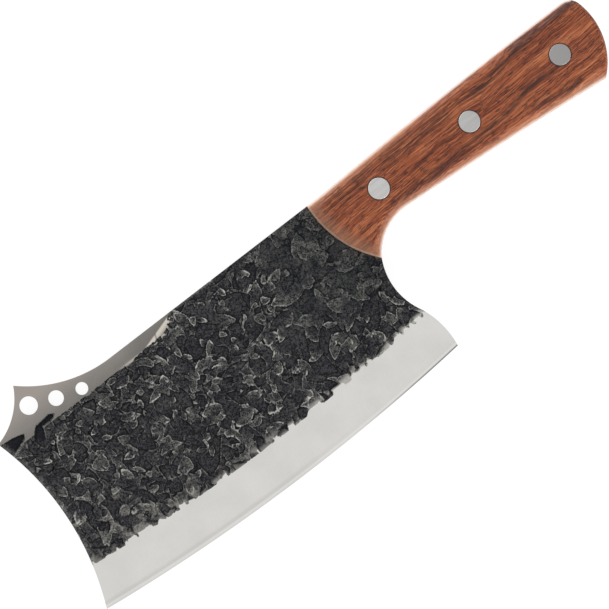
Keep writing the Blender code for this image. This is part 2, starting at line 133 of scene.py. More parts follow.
# Deep old marks that the grinding of the horn didn't reach on the left side, as convex outlines
HORN_SCARS = (
    ((-163.8, -1.6), (-164.5, -8.6), (-160.6, -8.4), (-153.8, -5.2), (-152.8, -3.6)),
    ((-137.2, -4.4), (-139.3, -3.4), (-146.2, -4.1), (-146.7, -5.2), (-144.1, -5.7), (-139.2, -5.6)),
    ((-146.2, -4.1), (-150.9, -8.8), (-146.5, -11.4), (-144.0, -5.5)),
)
NOSE_RIDGE = ((-161.4, -9.1), (-155.8, -7.5))
SCAR_DEPTH = 0.66
SCAR_TONE = -0.8

# Scales and rivets
SCALE_BASE = 2.15
SCALE_TOP = 10.65
SCALE_CROWN = 0.25
SIDE_ROUND = (6.5, 5.5)
FRONT_ROUND = (1.8, 1.8)
BUTT_ROUND = (2.5, 2.5)
EDGE_SLACK = 0.005
EDGE_BLEND = 5
RIM_AT_EDGE = 1.2
RIVET_PLACES = ((28.5, -12.484), (75.7, -13.228), (122.9, -13.973))
RIVET_NAMES = ("front", "middle", "rear")
HEAD_RADIUS = 4.6
HEAD_FACE = 10.85
HEAD_SEAT = 9.05
HEAD_DOME = 0.05
HEAD_ROUND = 0.30
DOME_INSET = 0.32
ROUND_DROP = 0.37
TUBE_RADIUS = 3.0
POST_RADIUS = 2.0
RIVET_CLEARANCE = 0.15
RIVET_FLOOR = 0.6

# Fineness of the nets, and how much is cut out of them round a hole
COLUMNS = 408
BEVEL_ROWS = 10
FORGED_ROWS = 148
BEVEL_SHARE = 0.19
TANG_COLUMNS = 80
HOLE_POINTS = 72
TURNED_POINTS = 96
DOME_POINTS = 9
ROUND_POINTS = 6
SCALE_COLUMNS = 190
SCALE_ROWS = 60
COLUMN_PULL = 0.35
ROW_PULL = 0.8
ARC_POINTS = 400
CORNER_HALF = 20
CURVE_SAMPLES = 240
LATTICE = 128
HORN_MARGIN = 0.2
TANG_MARGIN = 1.0
SCALE_MARGIN = 0.35

# Rings of the blade's outer wall: share of the thickness, and 2 where they take every other point
WALL_RINGS = ((0.06, 1), (0.5, 1), (0.94, 2))

# Angles in degrees from which the shading breaks
BLADE_SHARP = 48.0
SCALE_SHARP = 50.0
RIVET_SHARP = 38.0


# Place of the knife

def knife_axes():
    """Origin and axes of the knife in the row frame, from the two flat sides that are its mounts.

    Both sides' points lie over one point of the plan, so their middle is that point at mid-steel.
    """
    sides = {mount["name"]: mount for mount in frame["record"]["mounts"]}
    left, right = sides["left_blade_side"], sides["right_blade_side"]
    out = np.array(left["axis"])
    out = out / np.linalg.norm(out)
    up = np.array((0.0, 1.0, 0.0))
    along = np.cross(up, out)
    middle = (np.array(left["pos_m"]) + np.array(right["pos_m"])) / 2
    return middle - MOUNT_PLAN[0] * along - MOUNT_PLAN[1] * up, np.stack((along, up, out))


ORIGIN, AXES = knife_axes()


def placed(points):
    """Knife millimetres to metres in the row frame: the origin plus each coordinate along its axis."""
    return ORIGIN + np.asarray(points) / 1000 @ AXES


# Plane curves

def arc(start, end, bow):
    """Circle from start to end whose middle stands bow to the left of the chord.

    The angle goes evenly through the opening. Its sine leads along the chord, and its cosine aside.
    """
    start, end = np.array(start), np.array(end)
    chord = end - start
    left = np.array((-chord[1], chord[0]))
    half = 2 * math.atan2(2 * abs(bow), np.hypot(*chord))
    angle = np.linspace(-half, half, ARC_POINTS)[:, None]
    along = np.sin(angle) / (2 * math.sin(half))
    aside = math.copysign(1, bow) * (np.cos(angle) - math.cos(half)) / (2 * math.sin(half))
    return (start + end) / 2 + chord * along + left * aside


def arc_circle(start, end, bow):
    """Centre and radius of the circle that arc() follows."""
    start, end = np.array(start), np.array(end)
    chord = end - start
    length = np.hypot(*chord)
    left = np.array((-chord[1], chord[0])) / length
    radius = length ** 2 / (8 * abs(bow)) + abs(bow) / 2
    return (start + end) / 2 + left * math.copysign(radius - abs(bow), -bow), radius


def joined(first, *others):
    """Curves that follow each other as one, with each shared end once."""
    return np.concatenate([np.asarray(first)] + [np.asarray(curve)[1:] for curve in others])


def run_lengths(curve):
    """Length along a curve at each of its points."""
    return np.concatenate(([0.0], np.cumsum(np.hypot(*np.diff(curve, axis=0).T))))


def spread(curve, shares):
    """Points at those shares of a curve's length."""
    run = run_lengths(curve)
    lengths = np.asarray(shares) * run[-1]
    return np.stack([np.interp(lengths, run, curve[:, axis]) for axis in (0, 1)], axis=1)


def shortened(curve, cut):
    """A curve without the last stretch of length cut."""
    return spread(curve, np.linspace(0, 1 - cut / run_lengths(curve)[-1], ARC_POINTS))


def rounded_corner(before, after, cut):
    """Two curves that meet in a corner, each shortened by cut and led on to the middle of a parabola."""
    corner = before[-1]
    before, after = shortened(before, cut), shortened(after[::-1], cut)[::-1]
    t = np.linspace(0, 1, 2 * CORNER_HALF + 1)[:, None]
    turn = before[-1] * (1 - t) ** 2 + corner * 2 * t * (1 - t) + after[0] * t ** 2
    return joined(before, turn[:CORNER_HALF + 1]), joined(turn[CORNER_HALF:], after)


def sweep():
    """Hollow spine from the horn's tip to where it runs level: a circle that ends level."""
    start, tip = np.array(SWEEP_START), np.array(HORN_TIP)
    run, rise = tip - start
    radius = (run ** 2 + rise ** 2) / (2 * rise)
    angle = np.linspace(math.asin(-run / radius), 0, ARC_POINTS)
    return start + radius * np.stack((-np.sin(angle), 1 - np.cos(angle)), axis=1)


EDGE = arc(TOE, HEEL, EDGE_BOW)
FRONT = arc(TOE, NOSE, FRONT_BOW)
HORN_FRONT = arc(NOSE, HORN_TIP, HORN_FRONT_BOW)
SPINE = joined(sweep(), (SWEEP_START, SPINE_END))
CHOIL = joined(arc(HEEL, SHOULDER, HEEL_BOW), arc(SHOULDER, SCALE_LOW, CHOIL_BOW))
SCALE_FRONT = arc(SCALE_LOW, SPINE_END, SCALE_FRONT_BOW)
BELLY = joined(arc(SCALE_LOW, GRIP, FINGER_BOW), arc(GRIP, BUTT_LOW, GRIP_BOW))
BUTT, BACK = rounded_corner(
    arc(BUTT_LOW, BUTT_HIGH, BUTT_BOW),
    joined(arc(BUTT_HIGH, STRAIGHT_BACK, BACK_BOW), (STRAIGHT_BACK, SPINE_END)),
    UPPER_CORNER_CUT,
)
BACK = BACK[::-1]
EDGE_CENTRE, EDGE_RADIUS = arc_circle(TOE, HEEL, EDGE_BOW)


def edge_distance(x, y):
    """Distance from the cutting edge, towards the centre of its circle."""
    return EDGE_RADIUS - np.hypot(x - EDGE_CENTRE[0], y - EDGE_CENTRE[1])


def distance_to(plan, curve):
    """Distance of plan points from a curve: the least one to the straight lines between points on it."""
    nearest = np.full(len(plan), np.inf)
    corners = spread(curve, np.linspace(0, 1, CURVE_SAMPLES))
    for start, step in zip(corners, np.diff(corners, axis=0)):
        offset = plan - start
        share = np.clip(offset @ step / (step @ step), 0, 1)
        aside = offset - share[:, None] * step
        nearest = np.minimum(nearest, aside[:, 0] ** 2 + aside[:, 1] ** 2)
    return np.sqrt(nearest)


# Nets of points

def patch(low, high, first, last, u, v):
    """Surface in the plan between four curves, as rows of points.

    Straight blends between the low and high curves and between the first and last ones are added, and
    the blend of the four corners, which both contain, is taken off.
    """
    u, v = u[None, :, None], v[:, None, None]
    corners = (1 - v) * ((1 - u) * low[0] + u * low[-1]) + v * ((1 - u) * high[0] + u * high[-1])
    return (1 - v) * low + v * high + (1 - u) * first[:, None] + u * last[:, None] - corners


def numbered(first, *shape):
    """Table of vertex numbers that goes on from the first one."""
    return first + np.arange(math.prod(shape)).reshape(shape)


def net_faces(index):
    """Quads between the neighbours in a table of vertex numbers, counter-clockwise seen from +Z."""
    corners = (index[:-1, :-1], index[:-1, 1:], index[1:, 1:], index[1:, :-1])
    return np.stack(corners, axis=-1).reshape(-1, 4)


def strip(upper, lower):
    """Quads between two rings of equal count, facing away from what they go round counter-clockwise."""
    return np.stack((upper, lower, np.roll(lower, -1), np.roll(upper, -1)), axis=-1)


def thinning_strip(upper, lower):
    """Triangles from a ring down to one of half its count."""
    even, odd, after = upper[0::2], upper[1::2], np.roll(upper[0::2], -1)
    ahead = np.roll(lower, -1)
    fans = ((even, lower, odd), (odd, lower, ahead), (odd, ahead, after))
    return np.concatenate([np.stack(fan, axis=-1) for fan in fans])


def zipped(inner, inner_angles, outer, outer_angles):
    """Triangles that close the band between two rings round one centre, whose angles never go back.

    All points are taken in the order of their angles. Each one makes a triangle with the point before it
    on its own ring and the latest point on the other ring.
    """
    angles = np.concatenate((inner_angles, outer_angles))
    on_outer = (np.arange(len(angles)) >= len(inner))[np.argsort(angles, kind="stable")]
    at_outer = np.cumsum(on_outer) - 1
    at_inner = np.cumsum(~on_outer) - 1
    new = np.where(on_outer, outer[at_outer], inner[at_inner])
    first = np.where(on_outer, inner[at_inner], inner[at_inner - 1])
    second = np.where(on_outer, outer[at_outer - 1], outer[at_outer])
    return np.stack((first, second, new), axis=-1)


def drilled(quads, plan, centre, radius, margin):
    """Opens a round hole in a net: drops the quads that reach it, and zips a ring on its edge in.

    The sides that only one dropped quad has lead from point to point round the opening. Leaps that
    double in length count how many of them each point is from the first, which puts them in order.
    """
    offset = plan - centre
    reached = (np.hypot(*offset.T) < radius + margin)[quads].any(axis=1)
    here, there = quads[reached].ravel(), np.roll(quads[reached], -1, axis=1).ravel()
    shared = np.isin(here * len(plan) + there, there * len(plan) + here)
    here, there = here[~shared], there[~shared]
    by_number = np.argsort(here)
    leap = by_number[np.searchsorted(here[by_number], there)]
    turn = np.arctan2(offset[here, 1], offset[here, 0])
    first = np.argmin(turn)
    steps = np.ones(len(here), dtype=int)
    steps[first], leap[first] = 0, first
    for _ in range(len(here).bit_length()):
        steps, leap = steps + steps[leap], leap[leap]
    steps[first] = len(here)
    order = np.argsort(-steps)
    angle = np.linspace(-math.pi, math.pi, HOLE_POINTS, endpoint=False)
    ring = numbered(len(plan), HOLE_POINTS)
    rim = centre + radius * np.stack((np.cos(angle), np.sin(angle)), axis=1)
    triangles = zipped(ring, angle, here[order], np.maximum.accumulate(np.unwrap(turn[order])))
    return quads[~reached], np.concatenate((plan, rim)), ring, triangles


def drilled_all(quads, plan, holes):
    """Opens holes, each a centre, a radius and a margin, and lists their rings and all new triangles."""
    rings, fills = [], []
    for hole in holes:
        quads, plan, ring, fill = drilled(quads, plan, *hole)
        rings.append(ring)
        fills.append(fill)
    return quads, plan, rings, np.concatenate(fills)


def rivet_holes(radius, margin):
    """Holes for the three rivets, wider by the clearance than what goes through them."""
    return [(centre, radius + RIVET_CLEARANCE, margin) for centre in RIVET_PLACES]


def on_side(side, points, quads, triangles):
    """A shell of the left side as it is, or its mirror image for the right side, facing out again."""
    if side > 0:
        return points, quads, triangles
    return points * (1, 1, -1), quads[:, ::-1], triangles[:, ::-1]


def added(name, data):
    """New object in the scene."""
    thing = bpy.data.objects.new(name, data)
    bpy.context.scene.collection.objects.link(thing)
    return thing


def make_piece(name, node, shell, material, sharp, values):
    """Puts a closed shell into a mesh in the row frame, with values at the points that it uses."""
    points, quads, triangles = shell
    mesh = bpy.data.meshes.new(name)
    used, corners = np.unique(np.concatenate((quads.ravel(), triangles.ravel())), return_inverse=True)
    starts = np.concatenate((4 * np.arange(len(quads)), quads.size + 3 * np.arange(len(triangles))))
    mesh.vertices.add(len(used))
    mesh.vertices.foreach_set("co", placed(points[used]).astype(np.float32).ravel())
    mesh.loops.add(len(corners))
    mesh.loops.foreach_set("vertex_index", corners.astype(np.int32))
    mesh.polygons.add(len(starts))
    mesh.polygons.foreach_set("loop_start", starts.astype(np.int32))
    mesh.polygons.foreach_set("use_smooth", np.ones(len(starts), dtype=bool))
    mesh.update(calc_edges=True)
    mesh.set_sharp_from_angle(angle=math.radians(sharp))
    for key, data in values.items():
        layer = mesh.attributes.new(key, "FLOAT", "POINT")
        layer.data.foreach_set("value", data[used].astype(np.float32))
    mesh.materials.append(material)
    piece = added(name, mesh)
    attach(piece, "root")
    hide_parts(node)


# Forged and ground surfaces of the blade

def smooth_step(value, low, high):
    """From 0 at low to 1 at high: three squares of the share of the way less two of its cubes."""
    t = np.clip((value - low) / (high - low), 0, 1)
    return t * t * (3 - 2 * t)


def lattice_noise(x, y, size, rng):
    """Smooth random field from -1 to 1: random values on a square lattice, blended with a smooth step."""
    table = rng.uniform(-1, 1, (LATTICE, LATTICE))
    x, y = x / size, y / size
    column, row = np.floor(x).astype(int), np.floor(y).astype(int)
    across, up = x - column, y - row
    across, up = across ** 2 * (3 - 2 * across), up ** 2 * (3 - 2 * up)
    left, right, below, above = (number % LATTICE for number in (column, column + 1, row, row + 1))
    low = table[below, left] * (1 - across) + table[below, right] * across
    high = table[above, left] * (1 - across) + table[above, right] * across
    return low * (1 - up) + high * up


def turned(x, y, turn):
    """Coordinates along and aside of a direction."""
    return x * math.cos(turn) + y * math.sin(turn), y * math.cos(turn) - x * math.sin(turn)


def forge_marks(rng):
    """Finer hammer marks and flakes of forge scale, the wide ones first on the whole.

    Each row holds a place, an inner radius, a stretch, a turn, a level, a tilt, a number of sides, how
    far they bow, a tone, and the way it goes. All stand on jittered lattices, and beside the scales they
    are wider and shallower. They slant about as much as they are deep, so they have a wall on one side
    and run out on the other.
    """
    batches = []
    for way, spacing, middle, limits, most_sides in FORGE_BATCHES:
        columns, rows = np.meshgrid(np.arange(*FIELD_X, spacing), np.arange(*FIELD_Y, spacing))
        count = columns.size
        x = columns.ravel() + rng.uniform(-0.9, 0.9, count) * spacing
        y = rows.ravel() + rng.uniform(-0.9, 0.9, count) * spacing
        soft = smooth_step(x, *CALM_X) * smooth_step(y, *CALM_Y)
        radius = np.clip(rng.lognormal(math.log(middle), 0.45, count), *limits) * (1 + 0.6 * soft)
        chance = rng.uniform(0, 1, count)
        depth = np.where(way < 0, 0.20 + 0.42 * chance, 0.08 + 0.22 * chance + 0.10 * soft)
        depth = depth * (1 - 0.4 * soft)
        pressed, standing = depth * rng.uniform(0.2, 1.2, count), rng.uniform(0.20, 0.50, count)
        slant = np.where(way < 0, pressed, standing) / radius
        turn = rng.uniform(0, 2 * math.pi, count)
        batches.append(np.stack((
            x, y, radius, rng.uniform(1.0, 1.6, count), rng.uniform(0, math.pi, count), -depth,
            slant * np.cos(turn), slant * np.sin(turn), rng.integers(2, most_sides + 1, count),
            rng.uniform(2.0, 5.5, count), rng.uniform(0, 1, count) + 0.2 * (way > 0), np.full(count, way),
        ), axis=1))
    marks = np.concatenate(batches)
    return marks[np.argsort(-marks[:, 2] + rng.normal(0, 0.8, len(marks)))]


def outside(x, y, corners):
    """Distance outside a convex outline that runs counter-clockwise: the largest outside its sides."""
    corners = np.array(corners)
    sides = np.roll(corners, -1, axis=0) - corners
    sides = sides / np.hypot(*sides.T)[:, None]
    return np.max([(x - cx) * sy - (y - cy) * sx for (cx, cy), (sx, sy) in zip(corners, sides)], axis=0)


def outside_bowed(x, y, radius, sides, bulge):
    """Distance outside a figure with bowed sides: the largest outside the wide circles that bow them."""
    turn = 2 * math.pi / sides * np.arange(int(sides))[:, None]
    back = radius * (bulge - 1)
    return np.max(np.hypot(x + back * np.cos(turn), y + back * np.sin(turn)), axis=0) - radius * bulge


def hammered(x, y, seed, least, most, scars):
    """Forged surface: how far each point lies below the rolled plate, and the finish that goes with it.

    Marks and flakes come one after the other. Each is a slanting flat inside a figure with bowed sides
    and a steep wall round it, and the surface becomes the lower of what it was and a mark, or the higher
    of what it was and a flake. The signed distance from the wall that governs a point is kept, positive
    on the high side, with the wall's strength, and each brings its own tone. least and most are the
    levels that the ground lines allow, and only the scars go below them.
    """
    rng = np.random.default_rng(seed)
    bent_x, bent_y = (
        plain + 0.45 * lattice_noise(x, y, 4.5, rng) + 0.12 * lattice_noise(x, y, 1.5, rng)
        for plain in (x, y)
    )
    height = 0.06 * lattice_noise(x, y, 5.0, rng) - 0.06
    own = np.full_like(x, 0.6)
    edge = np.full_like(x, 9.0)
    wall = np.zeros_like(x)

    def shape(near, away, level, own_tone, way):
        before = height[near]
        level = np.minimum(level, 0.0)
        step = np.clip(way * (level - before) / FULL_WALL, 0, 1)
        moved = level - way * WALL_SLOPE * np.maximum(away, 0)
        hit = way * (moved - before) > 0
        inside = hit & (away < 0)
        height[near] = np.where(hit, moved, before)
        own[near] = np.where(inside, own_tone, own[near])
        governs = inside | ((away >= 0) & (step > LEAST_WALL) & (away < np.abs(edge[near])))
        edge[near] = np.where(governs, -way * away, edge[near])
        wall[near] = np.where(governs, step, wall[near])

    for mark in forge_marks(rng):
        place_x, place_y, radius, stretch, turn, level, tilt_x, tilt_y, sides, bulge, own_tone, way = mark
        reach = radius * stretch * 2.0 + 1.5
        near = np.flatnonzero((np.abs(x - place_x) < reach) & (np.abs(y - place_y) < reach))
        dx, dy = bent_x[near] - place_x, bent_y[near] - place_y
        along, aside = turned(dx, dy, turn)
        away = outside_bowed(along / math.sqrt(stretch), aside * math.sqrt(stretch), radius, sides, bulge)
        shape(near, away, level + tilt_x * dx + tilt_y * dy, own_tone, way)
    np.clip(height, least, most, out=height)
    for corners in scars:
        shape(slice(None), outside(bent_x, bent_y, corners), -SCAR_DEPTH, SCAR_TONE, -1)
    return height, own, edge, wall


def main_marks():
    """Centre and turn of each main hammer mark, by the part's rule.

    The marks stand in staggered rows, each moved off its place by its turn, and are left out where the
    forged field between bevel, facet, front, choil and scales lacks room.
    """
    reach = MARK_LENGTH / 2 + MARK_MARGIN
    row_step = MARK_SPACING * math.sqrt(3) / 2
    play = (MARK_SPACING - MARK_LENGTH) / 2
    rows, columns = round(-TOE[1] / row_step), round(-TOE[0] / MARK_SPACING) + 1
    number = np.arange(rows * columns)
    row, column = np.divmod(number, columns)
    turn = number * GOLDEN_TURN
    x = (column + row % 2 / 2) * MARK_SPACING + TOE[0] + play * np.cos(turn)
    y = -SWEDGE_DEPTH - reach - row * row_step + play * np.sin(turn)
    room = np.minimum(edge_distance(x, y) - BEVEL_WIDTH, -SWEDGE_DEPTH - y)
    for start, end, bow in (
        (TOE, NOSE, FRONT_BOW), (SHOULDER, SCALE_LOW, CHOIL_BOW), (SCALE_LOW, SPINE_END, SCALE_FRONT_BOW),
    ):
        centre, radius = arc_circle(start, end, bow)
        room = np.minimum(room, np.hypot(x - centre[0], y - centre[1]) - radius)
    return np.stack((x, y, turn), axis=1)[room >= reach]


def marked(x, y):
    """Height with the main marks alone: 0 outside uneven ovals, in them a wall round a slanting floor."""
    height = np.zeros_like(x)
    for place_x, place_y, turn in main_marks():
        near = np.flatnonzero(np.hypot(x - place_x, y - place_y) < MARK_LENGTH / 2)
        along, aside = turned(x[near] - place_x, y[near] - place_y, turn)
        along, aside = along / (MARK_LENGTH / 2), aside / (MARK_BREADTH / 2)
        rim = 1 - MARK_LOBE_SHARE * (1 - np.cos(MARK_LOBES * np.arctan2(aside, along) + turn))
        wall = smooth_step(1 - np.hypot(along, aside) / rim, 0, MARK_WALL / (MARK_LENGTH / 2))
        height[near] = -MARK_DEPTH * (1 + MARK_SLANT * along) * wall
    return height


def ground_surface(x, y):
    """Height that the grinder leaves: the lower of the wide bevel and the slanted facet along the horn.

    Each goes by the distance from its own line, with a short steep shoulder and then an even slope.
    """
    from_edge = edge_distance(x, y)
    into_facet = (y - np.interp(x, *RUNOUT)) * FACET_COSINE
    softer = 1 + 0.8 * smooth_step(x, -99.0, -86.0)
    facet = np.interp(into_facet / softer, *FACET_PROFILE)
    return np.minimum(np.interp(from_edge, *BEVEL_PROFILE), facet), from_edge, into_facet


def blade_grid(step):
    """Plan of the blade and of the tang behind it, as two nets that share the line of the scales' front.

    The blade's sides are the edge, the front, the horn and spine, and the choil with the scales' front.
    """
    v = np.concatenate((
        np.linspace(0, BEVEL_SHARE, BEVEL_ROWS + 1)[:-1],
        np.linspace(BEVEL_SHARE, 1, FORGED_ROWS + 1),
    ))
    u = np.linspace(0, 1, COLUMNS + 1)
    rear = joined(CHOIL, SCALE_FRONT)
    corner_share = run_lengths(CHOIL)[-1] / run_lengths(rear)[-1]
    corner = 2 * round(np.searchsorted(v, corner_share) / 2)
    rear_shares = np.interp(v, (0, v[corner], 1), (0, corner_share, 1))
    top_lengths = run_lengths(HORN_FRONT)[-1], run_lengths(SPINE)[-1]
    tip = 2 * round(COLUMNS * top_lengths[0] / sum(top_lengths) / 2)
    top = joined(
        spread(HORN_FRONT, np.linspace(0, 1, tip + 1)),
        spread(SPINE, np.linspace(0, 1, COLUMNS - tip + 1)),
    )
    blade = patch(spread(EDGE, u), top, spread(FRONT, v), spread(rear, rear_shares), u, v)
    u = np.linspace(0, 1, TANG_COLUMNS + 1)
    v = (v[corner:] - v[corner]) / (1 - v[corner])
    tang = patch(spread(BELLY, u), spread(BACK, u), blade[corner:, -1], spread(BUTT, v), u, v)
    return blade[::step, ::step], tang[::step, ::step], corner // step


def side_net(step):
    """Net of one side with all its holes, its outer ring, the holes' rings and which points are tang."""
    blade, tang, corner = blade_grid(step)
    rows, columns = blade.shape[:2]
    blade_index = numbered(0, rows, columns)
    tang_index = np.empty(tang.shape[:2], dtype=int)
    tang_index[:, 0] = blade_index[corner:, -1]
    tang_index[:, 1:] = numbered(rows * columns, *tang[:, 1:, 0].shape)
    plan = np.concatenate((blade.reshape(-1, 2), tang[:, 1:].reshape(-1, 2)))
    ring = np.concatenate((
        blade_index[0, :-1], blade_index[:corner, -1],
        tang_index[0, :-1], tang_index[:-1, -1], tang_index[-1, :0:-1],
        blade_index[-1, :0:-1], blade_index[:0:-1, 0],
    ))
    quads = np.concatenate((net_faces(blade_index), net_faces(tang_index)))
    holes = [(centre, radius, HORN_MARGIN * step) for centre, radius in HORN_HOLES]
    holes += rivet_holes(TUBE_RADIUS, TANG_MARGIN)
    quads, plan, hole_rings, triangles = drilled_all(quads, plan, holes)
    in_tang = np.arange(len(plan)) >= rows * columns
    in_tang[np.concatenate(hole_rings[:len(HORN_HOLES)])] = False
    return plan, quads, triangles, ring, hole_rings, in_tang, (rows // 2, columns)


def blade_side(step, seed, scars):
    """One side of the blade and tang, seen from outside: points, faces, rings and values at the points."""
    plan, quads, triangles, ring, hole_rings, in_tang, (half_rows, columns) = side_net(step)
    x, y = plan.T
    ground, from_edge, into_facet = ground_surface(x, y)
    least = np.where(into_facet > -1.0, FACET_RELIEF, np.interp(from_edge, *LEAST_RELIEF))
    most = np.interp(from_edge, *MOST_RELIEF)
    relief, tone, edge, wall = hammered(x, y, seed, least, most, scars)
    high_spot = smooth_step(relief, -0.40, -0.03) * smooth_step(into_facet, 2.0, -5.0)
    wear = smooth_step(x, *WORN_X) * smooth_step(y, *WORN_Y)
    grind_line = smooth_step(relief, -0.50, -0.24) * smooth_step(from_edge, 23.5 + 3.0 * wear, 19.5)
    spine_line = smooth_step(distance_to(plan, SPINE), 1.2, 0.3) * smooth_step(-x, 40.0, 65.0)
    rubbed = np.max((
        grind_line * (edge > -0.6),
        0.5 * wear * high_spot,
        0.35 * smooth_step(distance_to(plan, FRONT), 2.8, 0.8),
        smooth_step(distance_to(plan, np.array(NOSE_RIDGE)), 0.8, 0.3),
        0.5 * spine_line,
    ), axis=0)
    relief = relief * (1 - 0.35 * smooth_step(from_edge, 22.0, 27.0) * smooth_step(into_facet, 0.0, -3.0))
    relief = (relief + marked(x, y)) * smooth_step(distance_to(plan, SCALE_FRONT), 0.0, 3.0)
    lip = np.exp(-((edge - 0.4) / 0.35) ** 2) * wall
    forged = np.minimum(HALF_STEEL + relief + 0.07 * lip, HALF_STEEL)
    height = np.where(in_tang, HALF_STEEL, np.minimum(forged, ground))
    # Seen from the edge upwards, the ground steel ends at the first dark spot
    grind = np.where(in_tang, 1.0, forged - ground)
    lower_half = grind[:half_rows * columns].reshape(-1, columns)
    np.minimum.accumulate(lower_half, axis=0, out=lower_half)
    height[ring[height[ring] > 3 * EDGE_HALF]] -= EDGE_BREAK
    height[np.concatenate(hole_rings[:len(HORN_HOLES)])] -= HOLE_BREAK
    values = {
        "grind": grind,
        "tone": 0.25 + 0.20 * tone + 0.45 * high_spot,
        "edge": np.clip(edge, -4.0, 4.0),
        "wall": wall,
        "rubbed": rubbed,
        "facet": smooth_step(y, -40.0, -30.0),
        "from_edge": from_edge,
        "into_facet": into_facet,
    }
    return np.column_stack((plan, height)), quads, triangles, ring, hole_rings, values


def make_blade(material):
    """The whole steel: a fine net for the left side, one half as fine for the right, and walls between.

    The outer wall goes down in rings at shares of the thickness. The holes' walls are straight.
    """
    left, quads, triangles, ring, holes, values = blade_side(1, LEFT_SEED, HORN_SCARS)
    right, *faces, right_ring, right_holes, right_values = blade_side(2, RIGHT_SEED, ())
    right, right_quads, right_triangles = on_side(-1, right, *faces)
    start = len(left)
    right_ring = right_ring + start
    points = np.concatenate((left, right))
    top, bottom = points[ring], np.repeat(points[right_ring], 2, axis=0)
    bottom[1::2] = (bottom[1::2] + np.roll(bottom, -2, axis=0)[1::2]) / 2
    walls = []
    for share, skip in WALL_RINGS:
        wall = top[::skip].copy()
        wall[:, 2] = wall[:, 2] * (1 - share) + bottom[::skip, 2] * share
        walls.append(numbered(len(points), len(wall)))
        points = np.concatenate((points, wall))
    upper, middle, lower = walls
    quads = [quads, right_quads + start]
    quads += [strip(ring, upper), strip(upper, middle), strip(lower, right_ring)]
    quads += [strip(hole, end + start)[:, ::-1] for hole, end in zip(holes, right_holes)]
    triangles = (triangles, right_triangles + start, thinning_strip(middle, lower))
    rim = points[start + len(right):]
    fills = {
        "grind": 1.0,
        "facet": 0.8 * smooth_step(rim[:, 1], -75.0, -70.0),
        "from_edge": edge_distance(*rim[:, :2].T),
        "into_facet": 10.0,
    }
    for key, data in values.items():
        fill = fills.get(key, 0.0) + np.zeros(len(rim))
        values[key] = np.concatenate((data, right_values[key], fill))
    shell = points, np.concatenate(quads), np.concatenate(triangles)
    make_piece("forged_blade", "blade_with_tang", shell, material, BLADE_SHARP, values)


# Handle

def clustered(count, pull):
    """Shares from 0 to 1 that crowd towards both ends: a blend of even steps and a cosine's."""
    t = np.linspace(0, 1, count + 1)
    return (1 - pull) * t + pull * (1 - np.cos(math.pi * t)) / 2


def edge_drop(distance, size):
    """How far a rounded edge lies below the face, as a quarter of an ellipse over its width.

    The ellipse stands upright at the edge, so the first thousandths of a millimetre count as the edge.
    """
    width, depth = size
    inward = np.clip(1 - (distance - EDGE_SLACK) / width, 0, 1)
    return depth * (1 - np.sqrt(1 - inward ** 2))


def scale_face(plan):
    """Outer face of a scale: the top less the largest of the edges' drops, blended where they meet.

    With it come the distances from the front and from the rims, which count more along the back.
    The wood's painted rim highlight and its painted sheen at the front go by them.
    """
    belly, back = distance_to(plan, BELLY), distance_to(plan, BACK)
    front, butt = distance_to(plan, SCALE_FRONT), distance_to(plan, BUTT)
    side = np.minimum(belly, back)
    drops = (edge_drop(side, SIDE_ROUND), edge_drop(front, FRONT_ROUND), edge_drop(butt, BUTT_ROUND))
    drop = sum(d ** EDGE_BLEND for d in drops) ** (1 / EDGE_BLEND)
    crown = SCALE_CROWN * (1 - smooth_step(side, 3.0, 15.0))
    thinner = 1.2 + 1.2 * smooth_step(plan[:, 0], 40.0, 125.0)
    # Distance from the rims, narrower along the back, by which the wood's painted highlight goes
    rim = np.minimum(belly, thinner * np.maximum(back - 0.4, 0.0))
    return SCALE_TOP - np.minimum(drop + crown * (drop < 0.01), SIDE_ROUND[1]), front, rim


def make_scale(name, side, material):
    """Half of the handle: outer and glued face on one plan, with a wall round them and stepped holes."""
    u, v = clustered(SCALE_COLUMNS, COLUMN_PULL), clustered(SCALE_ROWS, ROW_PULL)
    net = patch(spread(BELLY, u), spread(BACK, u), spread(SCALE_FRONT, v), spread(BUTT, v), u, v)
    index = numbered(0, *net.shape[:2])
    ring = np.concatenate((index[0, :-1], index[:-1, -1], index[-1, :0:-1], index[:0:-1, 0]))
    (quads, plan, seats, fill), (glued_quads, glued_plan, bores, glued_fill) = (
        drilled_all(net_faces(index), net.reshape(-1, 2), rivet_holes(radius, SCALE_MARGIN))
        for radius in (HEAD_RADIUS, TUBE_RADIUS)
    )
    height, front, rim = scale_face(plan)
    start = len(plan)
    points = np.concatenate((
        np.column_stack((plan, height)),
        np.column_stack((glued_plan, np.full(len(glued_plan), SCALE_BASE))),
    ))
    middle = numbered(len(points), len(ring))
    wall = points[ring]
    wall[:, 2] = (wall[:, 2] + SCALE_BASE) / 2
    points = np.concatenate((points, wall))
    quads = [quads, glued_quads[:, ::-1] + start, strip(ring, middle), strip(middle, ring + start)]
    for upper, lower in zip(seats, bores):
        outer = numbered(len(points), HOLE_POINTS)
        inner = outer + HOLE_POINTS
        steps = points[np.concatenate((upper, lower + start))]
        steps[:, 2] = HEAD_SEAT - RIVET_CLEARANCE
        points = np.concatenate((points, steps))
        for high, low in ((upper, outer), (outer, inner), (inner, lower + start)):
            quads.append(strip(high, low)[:, ::-1])
    rim[ring] = np.maximum(rim[ring], RIM_AT_EDGE)
    below = SCALE_TOP - points[start:, 2]
    beside = distance_to(points[start:, :2], SCALE_FRONT) + below - FRONT_ROUND[1]
    values = {"from_front": np.concatenate((front, beside)), "rim": np.concatenate((rim, below))}
    triangles = np.concatenate((fill, glued_fill[:, ::-1] + start))
    shell = on_side(side, points, np.concatenate(quads), triangles)
    make_piece(name + "_wood", name, shell, material, SCALE_SHARP, values)


